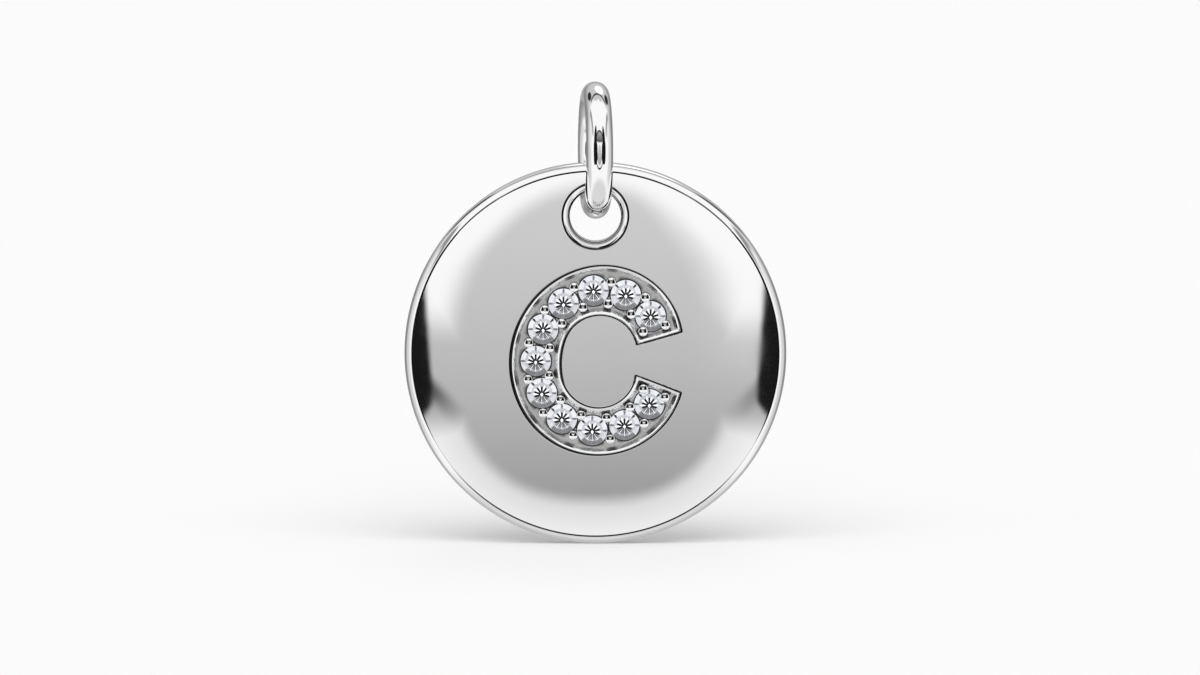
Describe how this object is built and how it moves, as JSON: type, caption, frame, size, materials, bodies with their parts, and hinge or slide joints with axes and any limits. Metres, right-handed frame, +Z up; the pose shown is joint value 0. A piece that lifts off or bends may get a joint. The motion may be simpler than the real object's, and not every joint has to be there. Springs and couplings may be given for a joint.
{
  "type": "initial pendant",
  "caption": "Round polished disc pendant with a recessed letter C set with brilliant-cut stones, hanging by a hole from a plain jump ring.",
  "frame": {"origin": "highest point inside the jump ring, where a chain bears on it and holds the pendant up", "axes": "+Z up, away from the hanging disc; the disc's domed face and its letter look towards -Y; +X to the right seen from the front"},
  "size_m": [0.016, 0.0058, 0.0194],
  "materials": {
    "polished_silver": "mirror-polished rhodium-plated silver",
    "ring_silver": "polished round silver wire",
    "clear_stone": "clear brilliant-cut stone with polished facets"
  },
  "bodies": {
    "ring": {"jump_ring": "ring_silver"},
    "pendant": {"disc": "polished_silver", "stone_01": "clear_stone", "stone_02": "clear_stone", "stone_03": "clear_stone", "stone_04": "clear_stone", "stone_05": "clear_stone", "stone_06": "clear_stone", "stone_07": "clear_stone", "stone_08": "clear_stone", "stone_09": "clear_stone", "stone_10": "clear_stone", "stone_11": "clear_stone"}
  },
  "joints": [
    {"name": "disc_swing", "type": "hinge", "parent": "ring", "child": "pendant", "pos_m": [0, 0, -0.00448], "axis": [0, 1, 0], "range_deg": [-60, 60]}
  ]
}
